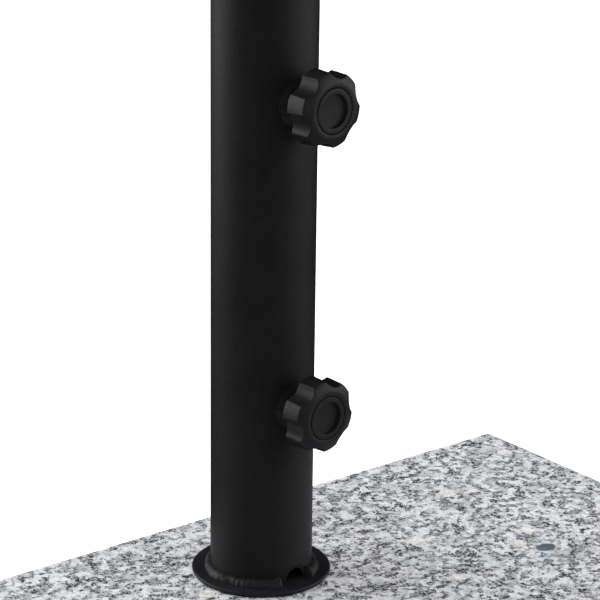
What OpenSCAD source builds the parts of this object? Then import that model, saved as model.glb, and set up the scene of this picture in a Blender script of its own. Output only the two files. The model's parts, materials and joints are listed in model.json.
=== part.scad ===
// Parasol base: a granite slab that carries an upright steel socket tube.
// Two clamp knobs on the front of the tube hold the parasol's mast.
// Millimetres, +Z up. The origin is on the floor, at the centre of the slab's footprint.
// +X runs along the slab's long side, +Y points to the rear edge, next to which the tube stands.

/* [Slab] */
// Length of the slab along X
slab_length = 516; // [440:1:700]
// Depth of the slab along Y
slab_depth = 300; // [280:1:460]
// Thickness of the stone
slab_thickness = 60; // [50:1:90]
// Width of the bevel on the slab's arrises
slab_bevel = 1; // [0.5:0.1:4]

/* [Feet] */
// Diameter of a rubber foot
foot_d = 36; // [20:1:50]
// Height of a rubber foot
foot_height = 5; // [3:0.5:9]
// Distance from the slab's edges to a foot's centre
foot_inset = 34; // [28:1:60]

/* [Socket tube] */
// Outer diameter of the tube
tube_d = 60; // [56:0.5:64]
// Wall thickness of the tube
tube_wall = 1.5; // [1.2:0.1:2]
// Length of the tube
tube_length = 400; // [370:1:500]
// Distance from the slab's rear edge to the tube's axis
tube_from_rear = 80; // [60:1:110]
// Angle by which the tube is turned on its one bolt, so that the knobs don't face quite square to the front
tube_turn = 4; // [-15:1:15]
// Width of the drain notch at the tube's foot
drain_width = 13; // [5:0.5:14]
// Height of the drain notch
drain_height = 7.5; // [7:0.5:12]

/* [Base flange] */
// Diameter of the round flange under the tube
flange_d = 82; // [76:1:110]
// Thickness of the flange
flange_thickness = 3; // [2.5:0.5:5]
// Width of the weld bead round the tube's foot
foot_weld_size = 4.5; // [3:0.5:5.5]

/* [Clamps] */
// Height of the lower knob's axis above the slab
lower_clamp_height = 112; // [80:1:140]
// Height of the upper knob's axis above the slab
upper_clamp_height = 289; // [230:1:300]
// Outer diameter of a threaded boss
boss_d = 22; // [18:0.5:24]
// Distance from the tube's axis to the end of a boss
boss_reach = 37; // [35:0.5:38]
// Width of the weld bead round a boss
boss_weld_size = 3.5; // [2:0.5:4]
// Diameter of the clamp screw's thread
screw_d = 8; // [8:8]
// Distance from the tube's axis to the tip of the screw's pad when the knob is screwed in
tip_reach = 19.8; // [19.6:0.1:21]
// How much further out the upper knob is screwed than the lower one
upper_knob_out = 1.2; // [0:0.1:6]

/* [Knobs] */
// Diameter of a knob over its lobes, at the back of the grip
knob_d = 43.4; // [40:0.2:46]
// Draft by which the lobes' radius shrinks towards the front
grip_draft = 0.5; // [0:0.1:1.5]
// Number of lobes
knob_lobes = 6; // [5:8]
// Depth of the scallop between two lobes, at the back of the grip
scallop_depth = 3; // [1:0.1:4]
// Radius of a scallop at the back
scallop_radius = 9; // [6:0.5:12]
// How much the radius of a scallop grows towards the front
scallop_taper = 0.8; // [0:0.1:1.2]
// Width of the knob's grip
grip_width = 12.3; // [10:0.1:12.5]
// Direction of the upper knob's first lobe, counter-clockwise from the right
upper_knob_turn = 47; // [0:1:59]
// Direction of the lower knob's first lobe, counter-clockwise from the right
lower_knob_turn = 42; // [0:1:59]

/* [Mast reducers] */
// Diameter of the mast that fits the inner reducer
mast_d = 38; // [30:1:38]
// Diameter of the mast that fits the outer reducer alone
wide_mast_d = 48; // [47:1:48]
// Length of a reducer's skirt inside the tube
reducer_skirt = 40; // [20:1:50]

/* [Hidden] */
$fn = 96;
thin = 0.01;

// Fits between pieces
running_gap = 0.05;
sleeve_gap = 0.3;
mast_gap = 0.3;

// Small bevels and weld beads
foot_bevel = 1;
flange_bevel = 0.8;
pad_bevel = 0.5;
weld_toe = 0.6;
weld_hollow = 0.4;
drain_gap_angle = 29;

// Levels up the base
slab_bottom = foot_height;
slab_top = slab_bottom + slab_thickness;
flange_top = slab_top + flange_thickness;
tube_top = flange_top + tube_length;
bevel_side = slab_bevel * sqrt(2);
tube_y = slab_depth / 2 - tube_from_rear;
tube_r = tube_d / 2;
tube_bore_r = tube_r - tube_wall;

// M12 fixing that pulls the flange down on to the slab
anchor_r = 6;
anchor_hole_r = 7;
anchor_recess_r = 24;
anchor_recess_depth = 30;
anchor_length = 50;
anchor_head_flats = 18;
anchor_head_height = 7.5;
anchor_nut_flats = 19;
anchor_nut_height = 10;
anchor_washer_r = 20;
anchor_washer_bore_r = 6.5;
anchor_washer_thickness = 4;
spring_washer_r = 10.5;
spring_washer_bore_r = 6.2;
spring_washer_thickness = 2.5;
spring_washer_split = 1.2;
recess_roof = slab_bottom + anchor_recess_depth;
washer_bottom = recess_roof - anchor_washer_thickness;
anchor_head_top = washer_bottom - spring_washer_thickness;

// M8 clamp screw with a hexagon head that is pressed into the knob
screw_r = screw_d / 2;
screw_wall_gap = 0.6;
screw_head_flats = 13;
screw_head_height = 5.3;
spigot_r = 2;
spigot_length = 2;
pad_r = 3.4;
pad_length = 3.2;
pad_end_gap = 0.1;
pad_top = tip_reach + pad_length;
spigot_end = pad_top - spigot_length + pad_end_gap;

// Knob, with its levels out along the clamp's axis from the tube's axis
knob_clearance = 1.2;
hub_length = 2.8;
shoulder_height = 2.6;
knob_r = knob_d / 2;
hub_r = 10;
face_r = 15.5;
back_bevel = 0.8;
hub_back = boss_reach + knob_clearance;
grip_back = hub_back + hub_length;
grip_front = grip_back + grip_width;
knob_face = grip_front + shoulder_height;
head_depth = 0.5;
head_seat = grip_back + head_depth;

// Cap in the knob's face
cap_r = 12.55;
cap_thickness = 5;
cap_bevel = 0.4;
cap_recess_r = 9.2;
cap_recess_slope = 0.3;
cap_recess_depth = 2.4;
cap_skirt_r = 11;
cap_skirt = 2;
cap_groove = 0.4;
cap_seat = knob_face - cap_thickness;

// Weld bead round a boss: how far it reaches back down the tube's round wall, and its two corners
boss_weld_reach = 4.5;
boss_weld_toe = [0.5, 1];
boss_weld_crest = [1, 0.8];

// Reducers
outer_rim_height = 4;
inner_rim_height = 3;
rim_bevel = 1;
lead_in = 2;
outer_rim_width = 1.5;
inner_rim_width = 3.7;
outer_bore_r = wide_mast_d / 2 + mast_gap;
inner_bore_r = mast_d / 2 + mast_gap;
outer_skirt_r = tube_bore_r - sleeve_gap;
inner_skirt_r = outer_bore_r - sleeve_gap;
outer_rim_top = tube_top + outer_rim_height;

powder_black = [0.09, 0.09, 0.10];
plastic_black = [0.07, 0.07, 0.08];
zinc = [0.74, 0.75, 0.77];

// ---- places ----

// The tube's own frame: its axis is Z, and the clamps face -Y
module at_tube(z = 0) {
    translate([0, tube_y, z]) rotate([0, 0, tube_turn]) children();
}

// A clamp's own frame: Z runs out along the screw from the tube's axis, and Y is up
module at_clamp(height) {
    at_tube(slab_top + height) rotate([90, 0, 0]) children();
}

// ---- shared shapes ----

module tube_ring(outer_r, inner_r, height) {
    difference() {
        cylinder(r = outer_r, h = height);
        translate([0, 0, -1]) cylinder(r = inner_r, h = height + 2);
    }
}

module hexagon(flats, height) {
    cylinder(r = flats / 2 / cos(30), h = height, $fn = 6);
}

// A disc with a bevel on its top edge
module bevelled_disc(radius, height, bevel) {
    rotate_extrude()
        polygon([[0, 0], [radius, 0], [radius, height - bevel], [radius - bevel, height], [0, height]]);
}

// The space that the tube takes, with its axis across a clamp's frame
module tube_space(radius) {
    rotate([-90, 0, 0]) translate([0, 0, -tube_r]) cylinder(r = radius, h = tube_d);
}

// ---- slab and feet ----

// What is cut off along the four arrises at one level of the slab
module arris_cuts(level) {
    for (side = [-1, 1])
        translate([0, side * slab_depth / 2, level]) rotate([45, 0, 0])
            cube([slab_length + 2, bevel_side, bevel_side], center = true);
    for (side = [-1, 1])
        translate([side * slab_length / 2, 0, level]) rotate([0, 45, 0])
            cube([bevel_side, slab_depth + 2, bevel_side], center = true);
}

module granite_slab() {
    color([0.72, 0.73, 0.74])
    difference() {
        translate([0, 0, slab_bottom + slab_thickness / 2])
            cube([slab_length, slab_depth, slab_thickness], center = true);
        arris_cuts(slab_top);
        arris_cuts(slab_bottom);
        for (side_x = [-1, 1], side_y = [-1, 1])
            translate([side_x * slab_length / 2, side_y * slab_depth / 2, slab_bottom + slab_thickness / 2])
                rotate([0, 0, 45]) cube([bevel_side, bevel_side, slab_thickness + 2], center = true);
        translate([0, tube_y, slab_bottom - 1])
            cylinder(r = anchor_recess_r, h = anchor_recess_depth + 1);
        translate([0, tube_y, slab_bottom])
            cylinder(r = anchor_hole_r, h = slab_thickness + 1);
    }
}

module foot(side_x, side_y) {
    color([0.08, 0.08, 0.08])
    translate([side_x * (slab_length / 2 - foot_inset), side_y * (slab_depth / 2 - foot_inset), 0])
        rotate_extrude()
            polygon([[0, 0], [foot_d / 2 - 2 * foot_bevel, 0], [foot_d / 2 - foot_bevel, foot_bevel],
                     [foot_d / 2, foot_height], [0, foot_height]]);
}

// ---- socket tube and its flange ----

module drain_notch() {
    arch_z = drain_height - drain_width / 2;
    translate([0, -tube_r, arch_z]) rotate([90, 0, 0])
        translate([0, 0, -tube_r / 3]) cylinder(d = drain_width, h = tube_r);
    translate([-drain_width / 2, -tube_r * 1.5, -1])
        cube([drain_width, tube_r, arch_z + 1]);
}

module socket_tube() {
    color(powder_black)
    difference() {
        at_tube(flange_top) tube_ring(tube_r, tube_bore_r, tube_length);
        at_tube(flange_top) drain_notch();
        for (height = [lower_clamp_height, upper_clamp_height])
            at_clamp(height) cylinder(r = screw_r + screw_wall_gap, h = tube_d);
    }
}

module base_flange() {
    color(powder_black)
    at_tube(slab_top) difference() {
        bevelled_disc(flange_d / 2, flange_thickness, flange_bevel);
        translate([0, 0, -1]) cylinder(r = anchor_hole_r, h = flange_thickness + 2);
    }
}

// The bead stops either side of the drain notch
module flange_weld() {
    leg = foot_weld_size;
    color(powder_black)
    at_tube(flange_top) rotate([0, 0, -90 + drain_gap_angle / 2])
        rotate_extrude(angle = 360 - drain_gap_angle)
            polygon([[tube_r, 0], [tube_r + leg, 0], [tube_r + leg, weld_toe],
                     [tube_r + leg * weld_hollow, leg * weld_hollow], [tube_r + weld_toe, leg],
                     [tube_r, leg]]);
}

// ---- M12 fixing through the slab ----

module anchor_bolt() {
    color(zinc)
    at_tube(anchor_head_top) {
        cylinder(r = anchor_r, h = anchor_length);
        translate([0, 0, -anchor_head_height]) hexagon(anchor_head_flats, anchor_head_height);
    }
}

module anchor_spring_washer() {
    color(zinc)
    at_tube(anchor_head_top) difference() {
        tube_ring(spring_washer_r, spring_washer_bore_r, spring_washer_thickness);
        translate([0, -spring_washer_split / 2, -1])
            cube([spring_washer_r + 1, spring_washer_split, spring_washer_thickness + 2]);
    }
}

module anchor_washer() {
    color(zinc)
    at_tube(washer_bottom) tube_ring(anchor_washer_r, anchor_washer_bore_r, anchor_washer_thickness);
}

module anchor_nut() {
    color(zinc)
    at_tube(flange_top) difference() {
        hexagon(anchor_nut_flats, anchor_nut_height);
        translate([0, 0, -1]) cylinder(r = anchor_r + running_gap, h = anchor_nut_height + 2);
    }
}

// ---- clamps ----

module boss(height) {
    color(powder_black)
    at_clamp(height) difference() {
        cylinder(r = boss_d / 2, h = boss_reach);
        tube_space(tube_r);
        cylinder(r = screw_r + running_gap, h = boss_reach + 1);
    }
}

module boss_weld(height) {
    root_r = boss_d / 2;
    edge_r = root_r + boss_weld_size;
    crest = tube_r + boss_weld_size;
    toe = tube_r - boss_weld_reach;
    color(powder_black)
    at_clamp(height) difference() {
        rotate_extrude()
            polygon([[root_r, toe], [edge_r + boss_weld_toe.x, toe], [edge_r, tube_r - boss_weld_toe.y],
                     [root_r + boss_weld_crest.x, crest - boss_weld_crest.y], [root_r, crest]]);
        tube_space(tube_r);
    }
}

module clamp_screw(height, out = 0) {
    color(zinc)
    at_clamp(height) translate([0, 0, out]) {
        translate([0, 0, spigot_end]) cylinder(r = spigot_r, h = spigot_length + thin);
        translate([0, 0, pad_top + pad_end_gap])
            cylinder(r = screw_r, h = head_seat - pad_top - pad_end_gap);
        translate([0, 0, head_seat]) hexagon(screw_head_flats, screw_head_height);
    }
}

// Nylon pad that the screw turns in, so that it doesn't mark the mast
module tip_pad(height, out = 0) {
    color([0.93, 0.92, 0.88])
    at_clamp(height) translate([0, 0, out]) difference() {
        translate([0, 0, tip_reach]) rotate_extrude()
            polygon([[0, 0], [pad_r - pad_bevel, 0], [pad_r, pad_bevel], [pad_r, pad_length],
                     [0, pad_length]]);
        translate([0, 0, pad_top - spigot_length])
            cylinder(r = spigot_r + running_gap, h = spigot_length + 1);
    }
}

// The hollows between the lobes, which widen towards the front as the mould's draft needs
module scallops() {
    for (i = [0 : knob_lobes - 1])
        rotate([0, 0, (i + 0.5) * 360 / knob_lobes])
            translate([knob_r - scallop_depth + scallop_radius, 0, grip_back - 1])
                cylinder(r1 = scallop_radius, r2 = scallop_radius + scallop_taper, h = grip_width + 5);
}

// Turned envelope of the knob: hub, back, grip and sloping shoulder
module knob_envelope() {
    rotate_extrude()
        polygon([[0, hub_back], [hub_r, hub_back], [hub_r, grip_back], [knob_r - back_bevel, grip_back],
                 [knob_r, grip_back + back_bevel], [knob_r - grip_draft, grip_front], [face_r, knob_face],
                 [0, knob_face]]);
}

module knob(height, turn, out = 0) {
    color(plastic_black)
    at_clamp(height) translate([0, 0, out]) difference() {
        knob_envelope();
        rotate([0, 0, turn]) scallops();
        translate([0, 0, hub_back - 1]) cylinder(r = screw_r, h = head_seat - hub_back + 1 + thin);
        translate([0, 0, head_seat]) hexagon(screw_head_flats, screw_head_height);
        translate([0, 0, head_seat + screw_head_height - thin])
            cylinder(r = cap_skirt_r, h = cap_seat - head_seat - screw_head_height + 2 * thin);
        translate([0, 0, cap_seat]) cylinder(r = cap_r + cap_groove, h = knob_face - cap_seat + 1);
    }
}

module knob_cap(height, out = 0) {
    color(plastic_black)
    at_clamp(height) translate([0, 0, out]) rotate_extrude()
        polygon([[0, cap_seat - cap_skirt], [cap_skirt_r, cap_seat - cap_skirt], [cap_skirt_r, cap_seat],
                 [cap_r, cap_seat], [cap_r, knob_face - cap_bevel], [cap_r - cap_bevel, knob_face],
                 [cap_recess_r + cap_recess_slope, knob_face], [cap_recess_r, knob_face - cap_recess_depth],
                 [0, knob_face - cap_recess_depth]]);
}

// ---- reducers in the tube's mouth ----

// A sleeve with a rim that rests on what is below it
module sleeve(rim_r, rim_height, skirt_r, skirt_length, bore_r) {
    rotate_extrude()
        polygon([[bore_r, -skirt_length], [skirt_r - lead_in / 2, -skirt_length],
                 [skirt_r, -skirt_length + lead_in], [skirt_r, 0], [rim_r, 0],
                 [rim_r, rim_height - rim_bevel], [rim_r - rim_bevel, rim_height], [bore_r, rim_height]]);
}

module reducer_outer() {
    color(plastic_black)
    at_tube(tube_top)
        sleeve(tube_r + outer_rim_width, outer_rim_height, outer_skirt_r, reducer_skirt, outer_bore_r);
}

module reducer_inner() {
    color(plastic_black)
    at_tube(outer_rim_top)
        sleeve(outer_bore_r + inner_rim_width, inner_rim_height, inner_skirt_r, reducer_skirt,
               inner_bore_r);
}

granite_slab();
foot(-1, -1);  // foot_front_left
foot(1, -1);  // foot_front_right
foot(-1, 1);  // foot_rear_left
foot(1, 1);  // foot_rear_right
socket_tube();
base_flange();
flange_weld();
anchor_bolt();
anchor_spring_washer();
anchor_washer();
anchor_nut();
boss(upper_clamp_height);  // upper_boss
boss_weld(upper_clamp_height);  // upper_boss_weld
clamp_screw(upper_clamp_height, upper_knob_out);  // upper_screw
tip_pad(upper_clamp_height, upper_knob_out);  // upper_tip_pad
knob(upper_clamp_height, upper_knob_turn, upper_knob_out);  // upper_knob
knob_cap(upper_clamp_height, upper_knob_out);  // upper_knob_cap
boss(lower_clamp_height);  // lower_boss
boss_weld(lower_clamp_height);  // lower_boss_weld
clamp_screw(lower_clamp_height);  // lower_screw
tip_pad(lower_clamp_height);  // lower_tip_pad
knob(lower_clamp_height, lower_knob_turn);  // lower_knob
knob_cap(lower_clamp_height);  // lower_knob_cap
reducer_outer();
reducer_inner();
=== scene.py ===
import json
import math
from collections import namedtuple

import bmesh
import bpy
from mathutils import Matrix, Vector, noise
from mathutils.geometry import tessellate_polygon


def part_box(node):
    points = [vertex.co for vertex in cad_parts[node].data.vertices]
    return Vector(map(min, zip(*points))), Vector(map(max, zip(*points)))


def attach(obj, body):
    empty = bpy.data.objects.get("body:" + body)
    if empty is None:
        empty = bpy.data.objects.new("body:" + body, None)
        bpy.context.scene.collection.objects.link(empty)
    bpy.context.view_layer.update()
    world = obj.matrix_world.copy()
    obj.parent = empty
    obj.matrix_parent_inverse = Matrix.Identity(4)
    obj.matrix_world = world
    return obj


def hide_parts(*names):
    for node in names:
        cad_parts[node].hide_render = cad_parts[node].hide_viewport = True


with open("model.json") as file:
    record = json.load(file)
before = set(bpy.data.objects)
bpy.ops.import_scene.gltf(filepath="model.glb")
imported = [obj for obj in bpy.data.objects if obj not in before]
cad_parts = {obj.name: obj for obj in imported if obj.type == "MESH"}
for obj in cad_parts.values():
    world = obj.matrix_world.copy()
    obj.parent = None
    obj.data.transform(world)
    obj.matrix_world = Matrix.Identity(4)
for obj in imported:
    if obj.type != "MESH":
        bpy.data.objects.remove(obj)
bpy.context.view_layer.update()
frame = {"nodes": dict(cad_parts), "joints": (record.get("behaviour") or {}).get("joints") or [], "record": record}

MM = 0.001
TAU = 2 * math.pi
SAME_POINT, NO_LENGTH = 1e-6, 1e-7      # Metres
SAME_LEVEL = 0.05                       # Millimetres
NEARLY_STRAIGHT = 1.55                  # Half the angle at a corner that is too flat to round, in radians


# ---------------------------- places and sizes, from the frame

def record_mount(name):
    return next(m for m in frame["record"]["mounts"] if m["name"] == name)


def joint(name):
    return next(j for j in frame["joints"] if j["name"] == name)


class Place:
    """A local frame in millimetres, with z along an axis of the object. It reads CAD nodes in that frame, and
    put() turns a local point into row metres."""

    def __init__(self, origin, right, up, out):
        self.to_row = Matrix.Translation(Vector(origin)) @ Matrix((right, up, out)).transposed().to_4x4()
        self.to_local = self.to_row.inverted()

    def put(self, point):
        return self.to_row @ (Vector(point) * MM)

    def local(self, node):
        return [(self.to_local @ v.co) / MM for v in frame["nodes"][node].data.vertices]

    def polar(self, node):
        """(radius, height) of each vertex of a CAD node."""
        return [(math.hypot(p.x, p.y), p.z) for p in self.local(node)]

    def radius(self, node):
        return max(r for r, _ in self.polar(node))

    def inner_radius(self, node):
        return min(r for r, _ in self.polar(node))

    def span(self, node):
        heights = [z for _, z in self.polar(node)]
        return min(heights), max(heights)


# The tube's own frame: z up its axis, and -y towards the knobs
AXIS_X, AXIS_Y, _ = record_mount("mast_socket")["pos_m"]
INWARD = Vector(joint("upper_knob_turn")["axis"]).normalized()
UP = Vector((0, 0, 1))
RIGHT = INWARD.cross(UP)
TUBE = Place((AXIS_X, AXIS_Y, 0), RIGHT, INWARD, UP)
# The row frame itself, in millimetres
ROW = Place((0, 0, 0), (1, 0, 0), (0, 1, 0), UP)


def clamp_place(which):
    """A clamp's frame: z runs out along the screw from the tube's axis, x is to the right and y is up."""
    height = joint(which + "_knob_turn")["pos_m"][2]
    return Place((AXIS_X, AXIS_Y, height), RIGHT, UP, -INWARD)


CLAMPS = {which: clamp_place(which) for which in ("upper", "lower")}
TUBE_R = TUBE.radius("socket_tube")
TUBE_BORE = TUBE.inner_radius("socket_tube")
TUBE_FOOT, TUBE_TOP = TUBE.span("socket_tube")

# Standard hardware: threads as their outer radius, depth and pitch, and widths across flats
Thread = namedtuple("Thread", "radius depth pitch")
M12, BOLT_FLATS, NUT_FLATS = Thread(6.0, 0.95, 1.75), 18.0, 19.0
M8, SCREW_FLATS, HEAD_HEIGHT = Thread(4.0, 0.62, 1.25), 13.0, 5.3
ROD_SEGMENTS, ROWS_PER_TURN = 40, 8
HEX_SEGMENTS, CHAMFER_STEPS, CHAMFER_SLOPE = 72, 4, 0.5


# ---------------------------- mesh helpers

def make_piece(name, verts, faces, place, body, slot, nodes, material, sharp=32):
    """A mesh piece from local millimetres, that rides on a body and stands for some CAD nodes."""
    mesh = bpy.data.meshes.new(name)
    mesh.from_pydata([place.put(v) for v in verts], [], faces)
    bm = bmesh.new()
    bm.from_mesh(mesh)
    bmesh.ops.remove_doubles(bm, verts=bm.verts, dist=SAME_POINT)
    bmesh.ops.dissolve_degenerate(bm, edges=bm.edges, dist=NO_LENGTH)
    bmesh.ops.recalc_face_normals(bm, faces=bm.faces)
    bm.to_mesh(mesh)
    bm.free()
    shade(mesh, sharp)
    mesh.materials.append(material)
    piece = bpy.data.objects.new(name, mesh)
    bpy.context.scene.collection.objects.link(piece)
    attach(piece, body)
    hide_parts(*nodes)
    return piece


def shade(mesh, sharp):
    """Smooth shading, with the edges past an angle in degrees kept sharp."""
    mesh.shade_smooth()
    mesh.set_sharp_from_angle(angle=math.radians(sharp))


def apply_modifiers(piece, sharp):
    """Makes the modified shape the piece's own mesh."""
    graph = bpy.context.evaluated_depsgraph_get()
    graph.update()
    mesh = bpy.data.meshes.new_from_object(piece.evaluated_get(graph))
    piece.modifiers.clear()
    piece.data = mesh
    shade(mesh, sharp)


def rounded(corners, steps):
    """A closed polyline with its corners rounded. A corner is (r, z) or (r, z, fillet radius)."""
    line = []
    for i, corner in enumerate(corners):
        here = Vector(corner[:2])
        fillet = corner[2] if len(corner) > 2 else 0
        before = Vector(corners[i - 1][:2])
        after = Vector(corners[(i + 1) % len(corners)][:2])
        back, ahead = (before - here).normalized(), (after - here).normalized()
        half = back.angle(ahead) / 2
        if not fillet or half > NEARLY_STRAIGHT:
            line.append(here.copy())
            continue
        reach = fillet / math.tan(half)
        centre = here + (back + ahead).normalized() * (fillet / math.sin(half))
        start, end = here + back * reach - centre, here + ahead * reach - centre
        sweep = start.angle_signed(end)
        line += [centre + Matrix.Rotation(-sweep * k / steps, 2) @ start for k in range(steps + 1)]
    return [(p.x, p.y) for p in line]


def soft_min(a, b, width):
    """The smaller of a and b, with the crease between them rounded over width."""
    near = max(width - abs(a - b), 0) / width if width else 0
    return min(a, b) - near * near * width / 4


def skin(rings, ends="flat"):
    """Vertices and faces over a list of equal rings of points. The two ends are flat, open or joined."""
    count, n = len(rings), len(rings[0])
    verts = [p for ring in rings for p in ring]
    faces = []
    for i in range(count if ends == "joined" else count - 1):
        j = (i + 1) % count
        for k in range(n):
            m = (k + 1) % n
            faces.append((i * n + k, i * n + m, j * n + m, j * n + k))
    if ends == "flat":
        faces.append(tuple(range(n)))
        faces.append(tuple((count - 1) * n + k for k in reversed(range(n))))
    return verts, faces


def spread(start, end, count):
    """Evenly spread values from start to end, both included."""
    return [start + (end - start) * k / count for k in range(count + 1)]


def circle(segments):
    """Directions of the points round a circle."""
    return [TAU * k / segments for k in range(segments)]


def turned(profile, segments, outline=None, soft=0.0, ends="joined"):
    """Vertices and faces of a turned solid. The profile's points are (radius, height) or
    (radius, height, inset), and no radius passes outline(angle, height) less that inset."""
    rings = []
    for radius, z, *inset in profile:
        ring = []
        for a in circle(segments):
            r = soft_min(radius, outline(a, z) - sum(inset), soft) if outline else radius
            ring.append((r * math.cos(a), r * math.sin(a), z))
        rings.append(ring)
    return skin(rings, ends)


def tube_wall_depth(x):
    """How far out along a clamp's axis the tube's round surface lies, at a distance x to one side."""
    return math.sqrt(TUBE_R * TUBE_R - x * x)


def hexagon(flats):
    """Outline of a hexagon bar: its radius at an angle, the same at every height."""
    def outline(a, _=0):
        return flats / 2 / math.cos((a % (TAU / 6)) - TAU / 12)
    return outline


def thread_depth(a, z, pitch, low, high):
    """Share of the full thread height at an angle and a height, with flat crests. It fades out over one
    pitch at both ends."""
    saw = (z / pitch - a / TAU) % 1.0
    ridge = min(1.0, max(0.0, 1.35 * (1 - abs(2 * saw - 1)) - 0.15))
    ends = min((z - low) / pitch, (high - z) / pitch, 1.0)
    return ridge * max(0.0, ends)


def threaded_shank(thread, low, high):
    """Rings of a threaded rod from low to high, as lists of points."""
    rows = round((high - low) / thread.pitch * ROWS_PER_TURN)
    rings = []
    for i in range(rows + 1):
        z = low + (high - low) * i / rows
        ring = []
        for a in circle(ROD_SEGMENTS):
            share = thread_depth(a, z, thread.pitch, low, high)
            r = thread.radius - thread.depth + thread.depth * share
            ring.append((r * math.cos(a), r * math.sin(a), z))
        rings.append(ring)
    return rings


def circle_ring(radius, z, segments=ROD_SEGMENTS, outline=None):
    """A ring of points at one height, that stays inside an outline."""
    ring = []
    for a in circle(segments):
        r = min(radius, outline(a)) if outline else radius
        ring.append((r * math.cos(a), r * math.sin(a), z))
    return ring


def hex_head(flats, seat, crown):
    """Rings of a hexagon head, from its flat seat to its crown with chamfered corners."""
    outline = hexagon(flats)
    corner = flats / 2 / math.cos(math.pi / 6)
    cut = corner - flats / 2 * 0.96
    way = math.copysign(1.0, crown - seat)
    rings = [circle_ring(corner, seat, HEX_SEGMENTS, outline)]
    for k in range(CHAMFER_STEPS + 1):
        share = k / CHAMFER_STEPS
        below = CHAMFER_SLOPE * cut * (1 - share) + 0.02
        rings.append(circle_ring(corner - cut * share, crown - way * below, HEX_SEGMENTS, outline))
    return rings + [circle_ring(flats / 2 * 0.94, crown, HEX_SEGMENTS, outline)]


def join(*parts):
    """One vertex and face list out of several."""
    verts, faces = [], []
    for part_verts, part_faces in parts:
        start = len(verts)
        verts += part_verts
        faces += [tuple(i + start for i in face) for face in part_faces]
    return verts, faces


# ---------------------------- material helpers

class Nodes:
    """A small helper that builds a material's node tree line by line. Scales are features per metre."""

    def __init__(self, name):
        self.material = bpy.data.materials.new(name)
        self.material.use_nodes = True
        self.tree = self.material.node_tree
        self.shader = self.tree.nodes["Principled BSDF"]
        self.position = self.add("ShaderNodeTexCoord").outputs["Object"]

    def add(self, kind, **values):
        node = self.tree.nodes.new(kind)
        for key, value in values.items():
            setattr(node, key, value)
        return node

    def feed(self, socket, value):
        """Links an output to a socket, or sets the socket to a constant."""
        if isinstance(value, bpy.types.NodeSocket):
            self.tree.links.new(value, socket)
        else:
            socket.default_value = value

    def fill(self, node, **values):
        """Feeds a node's inputs by name."""
        for key, value in values.items():
            self.feed(node.inputs[key.replace("_", " ")], value)
        return node

    def noise(self, scale, detail, roughness=0.5, at=None, distortion=0.0, output="Fac"):
        """A noise texture, as grey or as the vector in its colour."""
        node = self.fill(self.add("ShaderNodeTexNoise"), Vector=at or self.position, Scale=scale,
                         Detail=detail, Roughness=roughness, Distortion=distortion)
        return node.outputs[output]

    def cells(self, scale, at=None):
        """Voronoi cells: a random number for each cell, and the distance from its middle."""
        node = self.fill(self.add("ShaderNodeTexVoronoi"), Vector=at or self.position, Scale=scale)
        split = self.fill(self.add("ShaderNodeSeparateColor"), Color=node.outputs["Color"])
        return split.outputs["Red"], node.outputs["Distance"]

    def spot(self, centre, radii, at):
        """Under 1 inside an ellipsoid, from its centre and radii in millimetres."""
        offset = self.vector("SUBTRACT", at, [c * MM for c in centre])
        scaled = self.vector("DIVIDE", offset, [r * MM for r in radii])
        node = self.fill(self.add("ShaderNodeVectorMath", operation="LENGTH"), Vector=scaled)
        return node.outputs["Value"]

    def shaken(self, amount, scale):
        """The position, moved about by noise."""
        shake = self.noise(scale, detail=2.0, output="Color")
        centred = self.vector("SUBTRACT", shake, (0.5, 0.5, 0.5))
        return self.vector("ADD", self.position, self.vector("MULTIPLY", centred, (amount,) * 3))

    def vector(self, operation, a, b):
        node = self.add("ShaderNodeVectorMath", operation=operation)
        self.feed(node.inputs[0], a)
        self.feed(node.inputs[1], b)
        return node.outputs["Vector"]

    def math(self, operation, a, b):
        node = self.add("ShaderNodeMath", operation=operation)
        self.feed(node.inputs[0], a)
        self.feed(node.inputs[1], b)
        return node.outputs["Value"]

    def ramp(self, value, *stops):
        """A colour or grey ramp. A stop is (place, grey) or (place, (r, g, b))."""
        node = self.fill(self.add("ShaderNodeValToRGB"), Fac=value)
        elements = node.color_ramp.elements
        while len(elements) < len(stops):
            elements.new(0.5)
        for element, (place, tint) in zip(elements, stops):
            element.position = place
            rgb = (tint,) * 3 if isinstance(tint, (int, float)) else tint
            element.color = (*rgb, 1.0)
        return node.outputs["Color"]

    def span(self, value, low, high, to_low=0.0, to_high=1.0):
        """The value from low to high, stretched to another range and kept inside it."""
        node = self.fill(self.add("ShaderNodeMapRange", clamp=True), Value=value, From_Min=low,
                         From_Max=high, To_Min=to_low, To_Max=to_high)
        return node.outputs["Result"]

    def mix(self, share, a, b, blend="MIX"):
        """Colour a, with a share of colour b in it."""
        node = self.fill(self.add("ShaderNodeMix", data_type="RGBA", blend_type=blend), Factor=share)
        for key, color in (("A", a), ("B", b)):
            self.feed(node.inputs[key], color if isinstance(color, bpy.types.NodeSocket) else (*color, 1.0))
        return node.outputs["Result"]

    def bump(self, height, distance, strength, over=None):
        """A bumped normal. The distance is in metres."""
        node = self.fill(self.add("ShaderNodeBump"), Height=height, Distance=distance, Strength=strength)
        if over:
            self.feed(node.inputs["Normal"], over)
        return node.outputs["Normal"]

    def finish(self, color, roughness, normal, **constants):
        """Feeds the shader, and gives the finished material."""
        self.fill(self.shader, Base_Color=color, Roughness=roughness, Normal=normal, **constants)
        return self.material


# ---------------------------- materials

# Large pale crystals near the tube, and one blue-grey inclusion: (x, y) on the top face, and radii
PALE_CRYSTALS = (((165, 88), (9, 5)), ((100, 46), (6, 5)), ((147, 3), (6, 5)), ((84, -8), (6, 4)),
                 ((29, 27), (6, 4)))
INCLUSION = ((157, -10), (7, 5))


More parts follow.
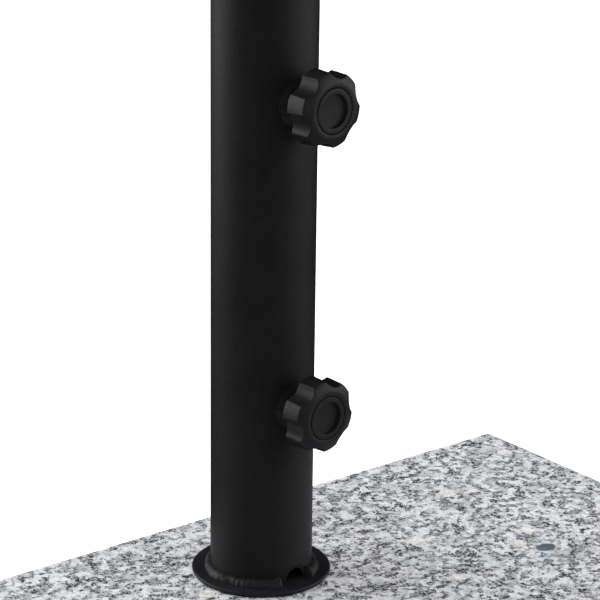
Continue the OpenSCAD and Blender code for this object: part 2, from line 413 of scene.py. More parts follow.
def feldspar(m):
    """White feldspar blotches in a grey ground. It also gives the blotches, which dark mica keeps off."""
    warped = m.shaken(0.0045, 190)
    torn = m.shaken(0.0016, 620)
    ground = m.ramp(m.noise(480, detail=5, roughness=0.72), (0.34, (0.150, 0.156, 0.174)),
                    (0.50, (0.280, 0.286, 0.303)), (0.64, (0.41, 0.415, 0.425)))
    chalk = m.ramp(m.noise(560, detail=4, roughness=0.70, at=warped), (0.36, (0.37, 0.376, 0.39)),
                   (0.62, (0.55, 0.556, 0.57)))
    cell, _ = m.cells(250, at=warped)
    blotch = m.noise(205, detail=4, roughness=0.6, at=torn)
    blotch = m.math("ADD", blotch, m.span(cell, 0.0, 1.0, -0.10, 0.10))
    return m.mix(m.span(blotch, 0.455, 0.545), ground, chalk), blotch


def pale_crystals(m, top):
    """Where a pale crystal lies: scattered ones, and the large ones near the tube."""
    number, reach = m.cells(66, at=m.shaken(0.006, 120))
    pale = m.math("MULTIPLY", m.span(number, 0.91, 0.92), m.span(reach, 0.26, 0.36, 1.0, 0.0))
    for (x, y), (width, depth) in PALE_CRYSTALS:
        near = m.spot((x, y, top), (width, depth, 6), m.shaken(0.006, 260))
        pale = m.math("MAXIMUM", pale, m.span(near, 0.80, 1.10, 1.0, 0.0))
    return pale


def mica(m, blotch, pale):
    """Where dark mica lies. It gathers in clouds, and in wisps between the white grains."""
    cloud = m.noise(60, detail=4, roughness=0.6)
    gather = m.span(cloud, 0.36, 0.64, -0.042, 0.042)
    gather = m.math("ADD", gather, m.span(blotch, 0.42, 0.58, 0.040, -0.085))
    flakes = m.noise(540, detail=4, roughness=0.6, distortion=0.7)
    specks = m.noise(980, detail=2, roughness=0.5)
    dark = m.math("MAXIMUM", m.span(m.math("ADD", flakes, gather), 0.558, 0.578),
                  m.span(m.math("ADD", specks, gather), 0.594, 0.616))
    return m.math("MULTIPLY", dark, m.span(pale, 0.0, 1.0, 1.0, 0.30))


def granite(name):
    """Light grey granite: white and grey grains, smoky quartz, a few pale crystals, and dark mica."""
    m = Nodes(name)
    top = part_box("granite_slab")[1].z / MM
    color, blotch = feldspar(m)
    quartz, _ = m.cells(150, at=m.shaken(0.006, 160))
    color = m.mix(m.span(quartz, 0.70, 0.76, 0.0, 0.45), color, (0.24, 0.25, 0.27))
    pale = pale_crystals(m, top)
    pale_tint = m.ramp(m.noise(330, detail=4), (0.35, (0.44, 0.44, 0.40)), (0.65, (0.62, 0.62, 0.57)))
    color = m.mix(m.math("MULTIPLY", pale, 0.68), color, pale_tint)
    dark = mica(m, blotch, pale)
    dark_tint = m.ramp(m.noise(420, detail=2), (0.40, (0.009, 0.010, 0.016)), (0.65, (0.050, 0.053, 0.064)))
    color = m.mix(dark, color, dark_tint)
    (x, y), (width, depth) = INCLUSION
    near = m.spot((x, y, top), (width, depth, 5), m.shaken(0.0015, 300))
    color = m.mix(m.span(near, 0.9, 1.05, 0.92, 0.0), color, (0.062, 0.080, 0.100))
    # Slow changes from one part of the block to another
    color = m.mix(0.35, color, m.ramp(m.noise(17, detail=3), (0.3, 0.40), (0.7, 0.60)), blend="OVERLAY")
    roughness = m.span(m.noise(1500, detail=2), 0.3, 0.7, 0.44, 0.60)
    relief = m.math("SUBTRACT", m.noise(1800, detail=4), m.math("MULTIPLY", dark, 0.35))
    return m.finish(color, roughness, m.bump(relief, 0.00012, 0.5), Specular_IOR_Level=0.35)


def powder_coat(name, grain=1.0, lightening=1.0):
    """Matte black powder coat: fine orange peel and a faint sparkle of coarser grains, its colour raised by a
    painted-light factor.
    """
    # The coat's colour times the factor: above 1 this is painted light, a lit copy of the same coat
    def painted_lighter(*tint):
        return tuple(c * lightening for c in tint)

    m = Nodes(name)
    cloud = m.noise(40, detail=3)
    color = m.ramp(cloud, (0.3, painted_lighter(0.0046, 0.0046, 0.0054)), (0.7, painted_lighter(0.0064, 0.0064, 0.0074)))
    speck, _ = m.cells(1500)
    color = m.mix(m.span(speck, 0.93, 1.0, 0.0, 0.5), color, painted_lighter(0.014, 0.014, 0.016))
    roughness = m.span(m.noise(420, detail=4), 0.3, 0.7, 0.44, 0.56)
    peel = m.bump(m.noise(520, detail=2, roughness=0.45), 0.00016 * grain, 0.5)
    normal = m.bump(m.noise(2400, detail=2), 0.00004 * grain, 0.5, over=peel)
    return m.finish(color, roughness, normal, Specular_IOR_Level=0.155)


def moulded_plastic(name, tint, texture, gloss_low, gloss_high):
    """Moulded plastic with a spark-eroded surface and slight handling marks."""
    m = Nodes(name)
    cloud = m.noise(120, detail=4)
    light = tuple(c * 1.45 for c in tint)
    color = m.mix(m.span(cloud, 0.35, 0.7), tint, light)
    roughness = m.span(m.noise(420, detail=4, roughness=0.6), 0.3, 0.7, gloss_low, gloss_high)
    grain = m.noise(1900, detail=3, roughness=0.6)
    scratches = m.noise(150, detail=6, roughness=0.7, distortion=1.5)
    normal = m.bump(scratches, 0.00022, 0.35, over=m.bump(grain, texture, 0.6))
    return m.finish(color, roughness, normal, Specular_IOR_Level=0.14)


def zinc(name):
    """Bright zinc plate with cloudy passivation and fine scratches."""
    m = Nodes(name)
    cloud = m.noise(160, detail=4, roughness=0.6)
    color = m.ramp(cloud, (0.25, (0.56, 0.58, 0.62)), (0.5, (0.68, 0.69, 0.70)), (0.8, (0.70, 0.67, 0.58)))
    roughness = m.span(m.noise(700, detail=5, roughness=0.7), 0.3, 0.7, 0.24, 0.44)
    normal = m.bump(m.noise(1300, detail=5, roughness=0.7), 0.00005, 0.5)
    return m.finish(color, roughness, normal, Metallic=1.0)


def rubber(name):
    """Black rubber with dust in its pores."""
    m = Nodes(name)
    lightening = m.span(m.noise(220, detail=5, roughness=0.7), 0.45, 0.75)
    color = m.mix(m.math("MULTIPLY", lightening, 0.5), (0.012, 0.012, 0.012), (0.045, 0.043, 0.040))
    normal = m.bump(m.noise(1500, detail=3), 0.0001, 0.6)
    return m.finish(color, m.span(lightening, 0.0, 1.0, 0.72, 0.9), normal, Specular_IOR_Level=0.3)


def nylon(name):
    """Natural white nylon, slightly cloudy."""
    m = Nodes(name)
    cloud = m.noise(300, detail=3)
    color = m.ramp(cloud, (0.3, (0.70, 0.68, 0.61)), (0.7, (0.78, 0.76, 0.70)))
    normal = m.bump(m.noise(2200, detail=2), 0.00004, 0.5)
    return m.finish(color, m.span(cloud, 0.3, 0.7, 0.38, 0.5), normal, Subsurface_Weight=0.1)


GRANITE = granite("granite")
COAT = powder_coat("black_powder_coat")
# The flange and its weld bead get this coat with its colour 1.7 times lighter: painted light that stands in for
# light falling on the flange top
FOOT_COAT = powder_coat("black_powder_coat_foot", grain=2.2, lightening=1.7)
KNOB_PLASTIC = moulded_plastic("knob_plastic", (0.0060, 0.0060, 0.0070), 0.00005, 0.40, 0.54)
SLEEVE_PLASTIC = moulded_plastic("sleeve_plastic", (0.011, 0.011, 0.012), 0.00003, 0.30, 0.44)
ZINC = zinc("zinc_plate")
RUBBER = rubber("foot_rubber")
NYLON = nylon("nylon")


# ---------------------------- granite slab

ARRIS, ARRIS_STEP = 1.0, 4.0            # Radius of the stone's arrises, and the steps along them
CORNER_CUT = 0.15
RECESS_SEGMENTS = 72


def wear(point, seed):
    """How much an arris is worn at a point: slowly changing, with a small chip here and there."""
    slow = noise.noise(Vector((point.x, point.y, seed)) * 0.11)
    chip = max(0.0, noise.noise(Vector((point.x, point.y, seed + 9)) * 0.45) - 0.42)
    return 0.10 * (slow + 0.5) + 1.5 * chip


def block_ring(corners, inset, z, rough, seed):
    """Points round the block at one level, moved in by an inset and a share of the arris's wear."""
    ring = []
    for i, corner in enumerate(corners):
        ahead = (corners[(i + 1) % 4] - corner).normalized()
        back = (corner - corners[i - 1]).normalized()
        inner = Vector((-ahead.y, ahead.x))
        count = round((corners[(i + 1) % 4] - corner).length / ARRIS_STEP)
        for k in range(count):
            p = corner.lerp(corners[(i + 1) % 4], k / count)
            depth = inset + rough * wear(p, seed)
            if k == 0:
                move = (inner + Vector((-back.y, back.x))) * (depth + CORNER_CUT)
            else:
                move = inner * depth
            ring.append((p.x + move.x, p.y + move.y, z))
    return ring


def arris_rings(corners, z_edge, inward, seed):
    """The rings of one rounded arris, from the side face to the flat face."""
    turns = [math.radians(a) for a in (0, 22.5, 45, 67.5, 90)]
    return [block_ring(corners, ARRIS * (1 - math.cos(a)), z_edge + inward * ARRIS * (1 - math.sin(a)),
                       0.15 + 0.85 * math.sin(a), seed) for a in turns]


def slab():
    """The stone block: a bevel with small chips on every arris, and the recess and hole for the bolt."""
    low, high = (Vector(c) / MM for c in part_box("granite_slab"))
    near_axis = [(r, z) for r, z in TUBE.polar("granite_slab") if r < TUBE_R]
    radii = [round(r, 1) for r, _ in near_axis]
    hole_r, recess_r = min(radii), max(radii)
    roof = max(z for r, z in near_axis if r > recess_r - 0.2)
    corners = [Vector(c) for c in ((low.x, low.y), (high.x, low.y), (high.x, high.y), (low.x, high.y))]
    rings = arris_rings(corners, low.z, 1, 3.0)[::-1] + arris_rings(corners, high.z, -1, 7.0)
    verts, faces = skin(rings, "open")
    count = len(rings[0])

    def add_circle(radius, z):
        """Adds the points of a circle round the tube's axis, and gives the number of the first one."""
        verts.extend((AXIS_X / MM + radius * math.cos(a), AXIS_Y / MM + radius * math.sin(a), z)
                     for a in circle(RECESS_SEGMENTS))
        return len(verts) - RECESS_SEGMENTS

    def add_flat(ring_start, hole_start, flip):
        """A flat face between a ring round the block and a circle."""
        outer = range(ring_start, ring_start + count)
        hole = range(hole_start, hole_start + RECESS_SEGMENTS)
        ids = [*outer, *hole]
        for tri in tessellate_polygon([[Vector(verts[i]) for i in part] for part in (outer, hole)]):
            faces.append(tuple(ids[i] for i in (tri[::-1] if flip else tri)))

    edges = [add_circle(recess_r, low.z), add_circle(recess_r, roof), add_circle(hole_r, roof),
             add_circle(hole_r, high.z)]
    add_flat(0, edges[0], True)
    add_flat((len(rings) - 1) * count, edges[-1], False)
    for first, second in zip(edges, edges[1:]):
        for k in range(RECESS_SEGMENTS):
            m = (k + 1) % RECESS_SEGMENTS
            faces.append((first + k, first + m, second + m, second + k))
    make_piece("slab_stone", verts, faces, ROW, "root", "granite", ["granite_slab"], GRANITE, sharp=12)


def feet():
    """Rubber feet with three ring grooves in the tread."""
    middle, groove = 0.6, 0.7
    for where in ("front_left", "front_right", "rear_left", "rear_right"):
        node = "foot_" + where
        low, high = (Vector(c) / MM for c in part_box(node))
        centre, radius = (low + high) / 2, (high.x - low.x) / 2
        height = high.z - low.z
        tread = [(middle, 0.0)]
        for share in (0.30, 0.52, 0.74):
            r = radius * share
            tread += [(r - 0.8, 0.0), (r - 0.5, groove), (r + 0.5, groove), (r + 0.8, 0.0)]
        rim = rounded([(middle, 0.0), (radius - 2.0, 0.0, 0.8), (radius - 0.4, height * 0.45, 0.6),
                       (radius, height * 0.6, 0.3), (radius, height), (middle, height)], 4)[1:]
        place = Place((centre.x * MM, centre.y * MM, low.z * MM), (1, 0, 0), (0, 1, 0), (0, 0, 1))
        verts, faces = turned(tread + rim, 72, ends="flat")
        make_piece("foot_pad_" + where, verts, faces, place, "root", "foot_rubber", [node], RUBBER)


# ---------------------------- socket tube and flange

WINDOW, WINDOW_PARTS = 7.2, 12      # Half the width of the strip with the openings in it, and its columns
OTHER_COLUMNS, ROW_HEIGHT = 120, 12.0
ABOVE_NOTCH = 3.0                   # How far the lowest window reaches above the notch
TUBE_EDGE, TUBE_SHARP = 0.3, 40     # Bevel of the tube's edges, and the angle from which they stay sharp
BEAD_TOE = 0.08                     # Place across a weld bead where its toe lies; 0 is its root


class TubeSheet:
    """The tube's outside as quads. Laid out flat, s runs round it from the middle of the knobs' side and h
    runs up from its foot."""

    def __init__(self):
        self.verts, self.faces, self.index = [], [], {}

    def vertex(self, s, h):
        key = (round(s, 4), round(h, 4))
        if key not in self.index:
            a = s / TUBE_R - math.pi / 2
            self.index[key] = len(self.verts)
            self.verts.append((TUBE_R * math.cos(a), TUBE_R * math.sin(a), TUBE_FOOT + h))
        return self.index[key]

    def patch(self, frame_line, opening):
        """Quads between a line of points on a frame and a line on the edge of an opening."""
        outer = [self.vertex(*p) for p in frame_line]
        inner = [self.vertex(*p) for p in opening]
        self.faces += [(outer[k], outer[k + 1], inner[k + 1], inner[k]) for k in range(len(outer) - 1)]


def window_frame(low, high, with_foot):
    """Points round a window: up its left side, along its top, down its right side and back along its foot."""
    across, up = spread(-WINDOW, WINDOW, WINDOW_PARTS), spread(low, high, WINDOW_PARTS)
    line = [(-WINDOW, h) for h in up] + [(s, high) for s in across[1:]] + [(WINDOW, h) for h in up[-2::-1]]
    return line + [(s, low) for s in across[-2::-1]] if with_foot else line


def notch_outline(half, top, count):
    """Points along an arched notch, from its left foot over the arch to its right foot."""
    straight = top - half
    length = 2 * straight + math.pi * half
    line = []
    for d in spread(0.0, length, count):
        if d < straight:
            line.append((-half, d))
        elif d > length - straight:
            line.append((half, length - d))
        else:
            a = math.pi - (d - straight) / half
            line.append((half * math.cos(a), straight + half * math.sin(a)))
    return line


def tube_grid(windows):
    """Columns round the tube and rows up it, fine across the windows and coarse elsewhere."""
    columns = spread(-WINDOW, WINDOW, WINDOW_PARTS)
    columns += spread(WINDOW, TAU * TUBE_R - WINDOW, OTHER_COLUMNS)[1:-1] + [-WINDOW]
    rows = [0.0]
    for low, high in windows:
        if low > rows[-1]:
            rows += spread(rows[-1], low, round((low - rows[-1]) / ROW_HEIGHT))[1:]
        rows += spread(low, high, WINDOW_PARTS)[1:]
    length = TUBE_TOP - TUBE_FOOT
    return columns, rows + spread(rows[-1], length, round((length - rows[-1]) / ROW_HEIGHT))[1:]


def socket_tube():
    """The tube as one sheet of quads with the drain notch and the screw holes left out, then thickened
    inwards and its edges broken."""
    notch = [p for p in TUBE.local("socket_tube") if TUBE_FOOT + 0.5 < p.z < TUBE_FOOT + 2 * WINDOW]
    notch_top = max(p.z for p in notch) - TUBE_FOOT
    notch_half = max(abs(p.x) for p in notch)
    hole_r = CLAMPS["upper"].inner_radius("socket_tube")
    holes = [joint(which + "_knob_turn")["pos_m"][2] / MM - TUBE_FOOT for which in ("lower", "upper")]
    windows = [(0.0, notch_top + ABOVE_NOTCH)] + [(h - WINDOW, h + WINDOW) for h in holes]
    columns, rows = tube_grid(windows)

    sheet = TubeSheet()
    for i, (s0, s1) in enumerate(zip(columns, columns[1:])):
        for h0, h1 in zip(rows, rows[1:]):
            in_window = any(low < (h0 + h1) / 2 < high for low, high in windows)
            if i >= WINDOW_PARTS or not in_window:
                corners = ((s0, h0), (s1, h0), (s1, h1), (s0, h1))
                sheet.faces.append(tuple(sheet.vertex(*c) for c in corners))
    sheet.patch(window_frame(*windows[0], False), notch_outline(notch_half, notch_top, 3 * WINDOW_PARTS))
    for middle, window in zip(holes, windows[1:]):
        square = window_frame(*window, True)
        angles = [math.atan2(h - middle, s) for s, h in square]
        sheet.patch(square, [(hole_r * math.cos(a), middle + hole_r * math.sin(a)) for a in angles])

    tube = make_piece("socket_tube_steel", sheet.verts, sheet.faces, TUBE, "root", "black_powder_coat",
                      ["socket_tube"], COAT, TUBE_SHARP)
    shell = tube.modifiers.new("wall", "SOLIDIFY")
    shell.thickness = (TUBE_R - TUBE_BORE) * MM
    shell.offset = -1.0
    shell.use_even_offset = True
    edge = tube.modifiers.new("edges", "BEVEL")
    edge.width = TUBE_EDGE * MM
    edge.segments = 2
    edge.limit_method = "ANGLE"
    edge.angle_limit = math.radians(50)
    apply_modifiers(tube, TUBE_SHARP)


def flange():
    """The round plate, slightly undercut, with a rounded rim."""
    low, high = TUBE.span("base_flange")
    radius, hole = TUBE.radius("base_flange"), TUBE.inner_radius("base_flange")
    undercut, rim = 1.1, 1.4
    # The ring of points outside the weld keeps the shading of the top flat
    profile = rounded([(hole, low), (radius - undercut, low, 0.3), (radius, high - rim, 0.5),
                       (radius, high, 0.9), (TUBE_R + 5, high), (hole, high, 0.3)], 6)
    verts, faces = turned(profile, 160)
    make_piece("flange_plate", verts, faces, TUBE, "root", "black_powder_coat", ["base_flange"], FOOT_COAT)


def bead(name, at, ends, spans, points_across, node, place, coat):
    """A weld bead: at(share, across) gives a point for a share of the bead's length and a place across it."""
    count = spans if ends == "joined" else spans + 1
    rings = [[at(i / spans, k / (points_across - 1)) for k in range(points_across)] for i in range(count)]
    make_piece(name, *skin(rings, ends), place, "root", "black_powder_coat", [node], coat, sharp=60)


def unevenness(a, seed, slow_scale, quick_scale):
    """Slow and quick unevenness of a bead at an angle round it."""
    return (noise.noise(Vector((math.cos(a), math.sin(a), seed[0])) * slow_scale),
            noise.noise(Vector((math.cos(a), math.sin(a), seed[1])) * quick_scale))


def flange_weld():
    """The bead round the tube's foot. It is laid in short pushes, so it is lumpy, and it stops with a
    blob on either side of the drain notch."""
    foot, crest = TUBE.span("flange_weld")
    size = crest - foot
    gap, shift, tip = math.radians(31), math.radians(2), 0.012
    start = -math.pi / 2 + gap / 2 - shift

    def blob(t, centre, width, height):
        return height * math.exp(-((t - centre) / width) ** 2)

    def at(t, across):
        a = start + (TAU - gap) * t
        slow, quick = unevenness(a, (0.3, 1.7), 2.2, 9.0)
        pushes = abs(math.sin((t * 31 + 2.4 * slow) * math.pi)) * 0.07
        blobs = blob(t, 0.012, 0.018, 0.45) + blob(t, 0.992, 0.02, 0.12)
        ends = math.sqrt(max(0.02, min(1.0, t / tip, (1 - t) / tip)))
        width = size * (0.84 + 0.22 * slow + 0.16 * quick + pushes + blobs) * ends
        height = size * (0.86 + 0.16 * slow - 0.12 * quick + pushes * 0.6 + blobs) * ends
        if across == 0:
            return (TUBE_R * math.cos(a), TUBE_R * math.sin(a), foot)
        # A full bead: it stands steep at its toe and runs flat against the tube
        u = (across - BEAD_TOE) / (1 - BEAD_TOE)
        r = TUBE_R + width * (1 - u ** 1.6)
        return (r * math.cos(a), r * math.sin(a), foot + height * math.sin(u * math.pi / 2))

    bead("weld_tube_foot", at, "flat", 420, 11, "flange_weld", TUBE, FOOT_COAT)


# ---------------------------- fixing bolt through the slab

def anchor_bolt():
    """M12 bolt with a real thread, up through the slab."""
    head_low, tip = TUBE.span("anchor_bolt")
    seat = TUBE.span("anchor_spring_washer")[0]
    thread_low = tip - 36.0
    smooth = [circle_ring(M12.radius, seat), circle_ring(M12.radius, thread_low - 0.5)]
    shank = smooth + threaded_shank(M12, thread_low, tip - 0.8) + [circle_ring(M12.radius - 1.6, tip)]
    bolt = join(skin(hex_head(BOLT_FLATS, seat, head_low)), skin(shank))
    make_piece("bolt_m12", *bolt, TUBE, "root", "zinc_plate", ["anchor_bolt"], ZINC)


def spring_washer():
    """A split ring whose two ends are a little offset."""
    node = "anchor_spring_washer"
    low, high = TUBE.span(node)
    inner, outer = TUBE.inner_radius(node), TUBE.radius(node)
    split, offset, turns = math.radians(3.4), 0.12, 96
    bottom, top = 0.1, high - low - 0.1
    section = rounded([(inner, bottom, 0.25), (outer, bottom, 0.25), (outer, top, 0.25),
                       (inner, top, 0.25)], 2)
    rings = []
    for i, a in enumerate(spread(split, TAU - split, turns)):
        lift = low + offset * (i / turns - 0.5)
        rings.append([(r * math.cos(a), r * math.sin(a), z + lift) for r, z in section])
    make_piece("washer_spring", *skin(rings), TUBE, "root", "zinc_plate", [node], ZINC)


def large_washer():
    """The stamped washer in the recess under the slab."""
    node = "anchor_washer"
    low, high = TUBE.span(node)
    inner, outer = TUBE.inner_radius(node), TUBE.radius(node)
    ring = rounded([(inner, low, 0.2), (outer, low, 0.5), (outer, high, 0.5), (inner, high, 0.2)], 4)
    make_piece("washer_large", *turned(ring, 128), TUBE, "root", "zinc_plate", [node], ZINC)


def anchor_nut():
    """The M12 nut on the flange, with a chamfered crown and mouth."""
    node = "anchor_nut"
    low, high = TUBE.span(node)
    bore, corner = TUBE.inner_radius(node), NUT_FLATS / 2 / math.cos(math.pi / 6)
    section = [(bore, low), (corner, low), (corner, high - 0.9)]
    section += [(corner - 0.5 * k, high - 0.9 + 0.28 * k) for k in range(1, 4)]
    section += [(9.0, high), (bore + 0.9, high), (bore, high - 0.8)]
    nut = turned(section, HEX_SEGMENTS, outline=hexagon(NUT_FLATS))
    make_piece("nut_m12", *nut, TUBE, "root", "zinc_plate", [node], ZINC)


# ---------------------------- clamps

BOSS_SEGMENTS = 96
SPIGOT_R = 2.0                      # The turned end of a clamp screw
SHANK_HOLE, HEAD_POCKET, CAP_POCKET = 4.05, 7.6, 11.0       # Radii inside a knob
CAP_SKIRT = 2.0                     # Depth of a cap below its flange
AXIS_R = 0.1                        # Where the profiles of solid turned pieces stop short of the axis
LOBES, SCALLOP_R, SCALLOP_TAPER = 6, 9.0, 0.8
HUB_FILLET, GRIP_EDGE = 0.8, 0.9    # Rounding round the hub, and of the grip's back edge
BEYOND = 4                          # Profile points this far outside the knob leave its wall to the outline
WALL_ROWS, SHOULDER_ROWS = 22, 24


def boss(which, place):
    """The threaded bush: a turned bar whose inner end fits the tube's round wall."""
    node = which + "_boss"
    reach = place.span(node)[1]
    bore, outer = place.inner_radius(node), place.radius(node)
    rings = []
    for share in (0.0, 0.25, 0.5, 0.75, 1.0):
        saddle = circle_ring(bore + (outer - bore) * share, 0.0, BOSS_SEGMENTS)
        rings.append([(x, y, tube_wall_depth(x)) for x, y, _ in saddle])
    front = [(outer, reach - 0.9), (outer - 0.26, reach - 0.26), (outer - 0.9, reach), (outer * 0.7, reach),
             (bore + 0.8, reach), (bore + 0.2, reach - 0.5), (bore, reach - 0.9)]
    rings += [circle_ring(r, z, BOSS_SEGMENTS) for r, z in front]
    make_piece("boss_" + which, *skin(rings, "joined"), place, "root", "black_powder_coat", [node], COAT)


def boss_weld(which, place):
    """The bead round a boss, which follows the tube's curve."""
    node = which + "_boss_weld"
    root = place.radius(which + "_boss")
    size = place.radius(node) - root
    seed = 2.0 if which == "upper" else 6.0

    def at(t, across):
        a = TAU * t
        slow, quick = unevenness(a, (seed, seed + 3), 1.8, 6.0)
        pushes = abs(math.sin(t * 15 * math.pi + seed)) * 0.12
        width = size * (0.72 + 0.16 * slow + 0.10 * quick + pushes)
        height = size * (0.78 + 0.12 * slow - 0.08 * quick + pushes)
        if across == 0:
            r, lift = root, 0.0
        else:
            u = (across - BEAD_TOE) / (1 - BEAD_TOE)
            r = root + width * (1 - u) ** 1.2
            lift = height * math.sin(u * math.pi / 2) ** 1.1
        x, y = r * math.cos(a), r * math.sin(a)
        return (x, y, tube_wall_depth(x) + lift)

    bead("weld_boss_" + which, at, "joined", 180, 10, node, place, COAT)


class KnobSizes:
    """The knob's levels and radii, and the direction of its lobes, read off the CAD solid."""

    def __init__(self, place, node):
        points = place.polar(node)
        self.radius = max(r for r, _ in points)
        self.back, self.face = place.span(node)
        on_face = [r for r, z in points if z > self.face - SAME_LEVEL]
        self.face_r = max(on_face)
        self.groove = max(r for r in on_face if r < self.face_r - 1)
        self.hub = max(r for r, z in points if z < self.back + SAME_LEVEL)
        grip = [(r, z) for r, z in points if r > self.face_r + 1]
        self.grip_back = min(z for _, z in grip)
        lobes = [(r, z) for r, z in grip if r > self.radius - 0.7]
        self.grip_front = max(z for _, z in lobes)
        self.draft = self.radius - max(r for r, z in lobes if z > self.grip_front - SAME_LEVEL)
        self.scallop = min(r for r, z in grip if z < self.grip_back + SAME_LEVEL)
        rim = [p for p in place.local(node) if math.hypot(p.x, p.y) > self.radius - 0.02]
        phases = [LOBES * math.atan2(p.y, p.x) for p in rim]
        self.turn = math.atan2(sum(map(math.sin, phases)), sum(map(math.cos, phases))) / LOBES

    def outline(self, a, z):
        """Radius of the grip's wall: a slightly conical rim, cut by scallops that widen to the front."""
        share = max(0.0, (z - self.grip_back) / (self.grip_front - self.grip_back))
        rim = self.radius - self.draft * min(1.0, share)
        centre = self.scallop + SCALLOP_R
        hollow = SCALLOP_R + SCALLOP_TAPER * share
        d = (a - self.turn) % (TAU / LOBES) - TAU / LOBES / 2
        inside = hollow * hollow - (centre * math.sin(d)) ** 2
        if inside <= 0:
            return rim
        return soft_min(rim, centre * math.cos(d) - math.sqrt(inside), 0.5)

    def back_profile(self):
        """The hub, and the back of the grip with its rounded edge."""
        hub, back, grip = self.hub, self.back, self.grip_back
        line = [(SHANK_HOLE, back + 0.4), (SHANK_HOLE + 0.35, back), (hub - 0.6, back),
                (hub - 0.18, back + 0.18), (hub, back + 0.6), (hub, grip - 0.8), (hub + 0.25, grip - 0.22),
                (hub + HUB_FILLET, grip)]
        reach = self.radius - GRIP_EDGE - hub - HUB_FILLET
        for share in (0.35, 0.7, 1.0):
            line.append((hub + HUB_FILLET + reach * share, grip, GRIP_EDGE + (1 - share) * 6))
        for t in spread(0.0, math.pi / 2, 4)[1:]:
            rise, inset = 1 - math.cos(t), 1 - math.sin(t)
            line.append((self.radius + BEYOND, grip + GRIP_EDGE * rise, GRIP_EDGE * inset))
        return line

    def wall_profile(self):
        """The grip's wall, which only the outline limits, then the domed shoulder in fine rows."""
        low, high, top = self.grip_back + GRIP_EDGE, self.grip_front - 0.7, self.face - 0.3
        line = [(self.radius + BEYOND, z) for z in spread(low, high, WALL_ROWS)[1:]]
        width = self.radius - self.draft - self.face_r
        for z in spread(high, top, SHOULDER_ROWS)[1:]:
            share = (self.face - z) / (self.face - self.grip_front)
            dome = 0.5 * math.sin(math.pi * min(1.0, max(0.0, share)))
            line.append((self.face_r + width * share + dome, z))
        return line

    def front_profile(self, edge, cap_seat, head_high, head_low):
        """The rounded edge on to the face, the groove round the cap, and the pockets for cap and head."""
        face, groove = self.face, self.groove
        return [(edge - 0.35, face - 0.17), (edge - 0.85, face - 0.05), (edge - 1.5, face),
                (groove + 0.7, face), (groove + 0.25, face - 0.08), (groove + 0.05, face - 0.28),
                (groove, face - 0.6), (groove, cap_seat), (CAP_POCKET, cap_seat), (CAP_POCKET, head_high),
                (HEAD_POCKET, head_high), (HEAD_POCKET, head_low), (SHANK_HOLE, head_low)]


def knob(which, place):
    """The star knob. Its wall follows the lobed outline until the domed shoulder cuts it off, so each
    scallop ends in an arch on the shoulder."""
    node = which + "_knob"
    sizes = KnobSizes(place, node)
    cap_seat = place.span(which + "_knob_cap")[0] + CAP_SKIRT
    head_high = place.span(which + "_screw")[1]
    profile = sizes.back_profile() + sizes.wall_profile()
    profile += sizes.front_profile(profile[-1][0], cap_seat, head_high + 0.1, head_high - HEAD_HEIGHT)
    verts, faces = turned(profile, 360, outline=sizes.outline, soft=0.9)
    make_piece("knob_grip_" + which, verts, faces, place, which + "_handle", "knob_plastic", [node],
               KNOB_PLASTIC, sharp=50)


def knob_cap(which, place):
    """The snap-in cap: a raised ring round a sunk disc."""
    node = which + "_knob_cap"
    low, face = place.span(node)
    points = place.polar(node)
    rim, seat = place.radius(node), low + CAP_SKIRT
    skirt = max(r for r, z in points if z < low + SAME_LEVEL)
    disc = min(z for _, z in points if z > seat + 0.5)
    recess = max(r for r, z in points if abs(z - disc) < SAME_LEVEL)
    profile = rounded([(AXIS_R, low), (skirt, low, 0.3), (skirt, seat), (rim, seat, 0.1), (rim, face, 0.4),
                       (recess + 0.3, face, 0.3), (recess, disc, 0.3), (AXIS_R, disc)], 5)
    verts, faces = turned(profile, 160, ends="flat")
    make_piece("knob_cap_" + which, verts, faces, place, which + "_handle", "knob_plastic", [node],
               KNOB_PLASTIC, sharp=50)


def clamp_screw(which, place):
    """M8 screw: turned spigot for the pad, thread, plain shank and hexagon head."""
    node = which + "_screw"
    low, high = place.span(node)
    seat = high - HEAD_HEIGHT
    thread_low = min(z for r, z in place.polar(node) if r > M8.radius - 0.1)
    rings = [circle_ring(SPIGOT_R - 0.3, low), circle_ring(SPIGOT_R, low + 0.3),
             circle_ring(SPIGOT_R, thread_low), circle_ring(M8.radius - 0.8, thread_low)]
    rings += threaded_shank(M8, thread_low + 0.1, seat - 4.0)
    rings += [circle_ring(M8.radius - 0.05, seat - 3.6), circle_ring(M8.radius - 0.05, seat + 0.2)]
    shape = join(skin(rings), skin(hex_head(SCREW_FLATS, seat, high)))
    make_piece("screw_m8_" + which, *shape, place, which + "_handle", "zinc_plate", [node], ZINC)


def tip_pad(which, place):
    """The nylon pad, with the blind hole that the screw's spigot turns in."""
    node = which + "_tip_pad"
    low, high = place.span(node)
    outer, hole = place.radius(node), SPIGOT_R + 0.05
    floor = min(z for _, z in place.polar(node) if z > low + 0.7)
    profile = rounded([(AXIS_R, low), (outer, low, 0.55), (outer, high, 0.25), (hole, high, 0.1),
                       (hole, floor), (AXIS_R, floor)], 4)
    verts, faces = turned(profile, 64, ends="flat")
    make_piece("pad_nylon_" + which, verts, faces, place, which + "_pad", "nylon", [node], NYLON)


# ---------------------------- reducers

def reducer(node, body, name):
    """A moulded sleeve with a rounded rim and mouth."""
    low, high = TUBE.span(node)
    bore, rim = TUBE.inner_radius(node), TUBE.radius(node)
    seat = min(z for r, z in TUBE.polar(node) if r > rim - 1.2)
    skirt = max(r for r, z in TUBE.polar(node) if z < seat - 0.5)
    profile = rounded([(bore, low + 0.6, 0.2), (skirt - 1.0, low, 0.3), (skirt, low + 2.0, 0.5),
                       (skirt, seat), (rim, seat, 0.3), (rim, high, 0.9), (bore + 0.9, high, 0.5),
                       (bore, high - 1.0, 0.3)], 4)
    verts, faces = turned(profile, 192)
    make_piece(name, verts, faces, TUBE, body, "sleeve_plastic", [node], SLEEVE_PLASTIC)


# ---------------------------- camera, stage and light

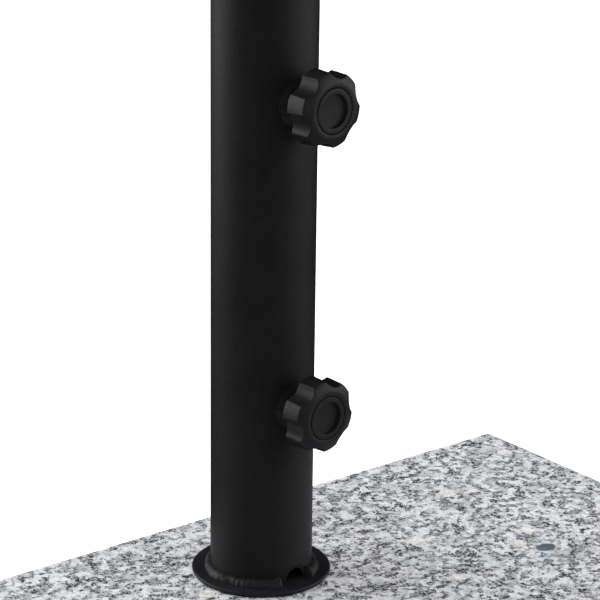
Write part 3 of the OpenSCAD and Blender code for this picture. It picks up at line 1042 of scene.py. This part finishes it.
# The camera's place and aim in metres, its sensor and lens in millimetres
EYE, AIM = Vector((-0.7614, -0.9866, 0.5811)), Vector((0.0165, -0.0132, 0.1682))
SENSOR, LENS, ROLL = 36.0, 137.98, math.radians(0.725)


def turn_to(thing, target, roll=0.0):
    """Points a camera or a lamp at a target, rolled about its line of sight."""
    aim = (Vector(target) - thing.location).to_track_quat("-Z", "Y")
    thing.rotation_mode = "QUATERNION"
    thing.rotation_quaternion = (aim.to_matrix() @ Matrix.Rotation(roll, 3, "Z")).to_quaternion()


def camera():
    """A long lens close to the object, placed from the middle of the tube's foot on the stone."""
    data = bpy.data.cameras.new("camera")
    data.sensor_width, data.lens = SENSOR, LENS
    data.clip_start, data.clip_end = 0.05, 60.0
    eye = bpy.data.objects.new("camera", data)
    foot = Vector((AXIS_X, AXIS_Y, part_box("granite_slab")[1].z))
    eye.location = foot + EYE
    turn_to(eye, foot + AIM, ROLL)
    bpy.context.scene.collection.objects.link(eye)
    bpy.context.scene.camera = eye


def stage():
    """A plain white floor that doesn't show in reflections."""
    material = bpy.data.materials.new("floor_white")
    material.use_nodes = True
    shader = material.node_tree.nodes["Principled BSDF"]
    shader.inputs["Base Color"].default_value = (0.97, 0.97, 0.97, 1.0)
    shader.inputs["Roughness"].default_value = 0.9
    shader.inputs["Specular IOR Level"].default_value = 0.1
    bm = bmesh.new()
    bmesh.ops.create_circle(bm, cap_ends=True, radius=14.0, segments=96)
    mesh = bpy.data.meshes.new("floor")
    bm.to_mesh(mesh)
    bm.free()
    mesh.materials.append(material)
    floor = bpy.data.objects.new("floor", mesh)
    bpy.context.scene.collection.objects.link(floor)
    floor.visible_glossy = False


def softbox(name, position, size, power):
    """A rectangular area light that looks at the middle of the tube."""
    data = bpy.data.lights.new(name, "AREA")
    data.shape = "RECTANGLE"
    data.size, data.size_y = size
    data.energy = power
    lamp = bpy.data.objects.new(name, data)
    lamp.location = position
    turn_to(lamp, (AXIS_X, AXIS_Y, 0.25))
    bpy.context.scene.collection.objects.link(lamp)
    return lamp


def light():
    """A white studio, a big softbox overhead, and a wide softbox on each side of the tube. Only the side
    ones show in reflections, so that black surfaces stay black."""
    world = bpy.data.worlds.new("studio")
    bpy.context.scene.world = world
    world.use_nodes = True
    backdrop = world.node_tree.nodes["Background"]
    backdrop.inputs["Color"].default_value = (1.0, 1.0, 1.0, 1.0)
    backdrop.inputs["Strength"].default_value = 1.0
    world.cycles_visibility.glossy = False
    softbox("softbox_top", (-0.4, 0.5, 2.6), (2.8, 2.8), 30).visible_glossy = False
    softbox("softbox_left", (-1.31, 1.82, 0.95), (2.2, 1.8), 70)
    softbox("softbox_right", (1.84, -1.29, 0.70), (2.9, 1.3), 42)
    bpy.context.scene.view_settings.view_transform = "Standard"


# ---------------------------- the whole object

camera()
stage()
light()
slab()
feet()
socket_tube()
flange()
flange_weld()
anchor_bolt()
spring_washer()
large_washer()
anchor_nut()
for clamp_name, clamp_frame in CLAMPS.items():
    boss(clamp_name, clamp_frame)
    boss_weld(clamp_name, clamp_frame)
    knob(clamp_name, clamp_frame)
    knob_cap(clamp_name, clamp_frame)
    clamp_screw(clamp_name, clamp_frame)
    tip_pad(clamp_name, clamp_frame)
reducer("reducer_outer", "outer_sleeve", "sleeve_outer")
reducer("reducer_inner", "inner_sleeve", "sleeve_inner")
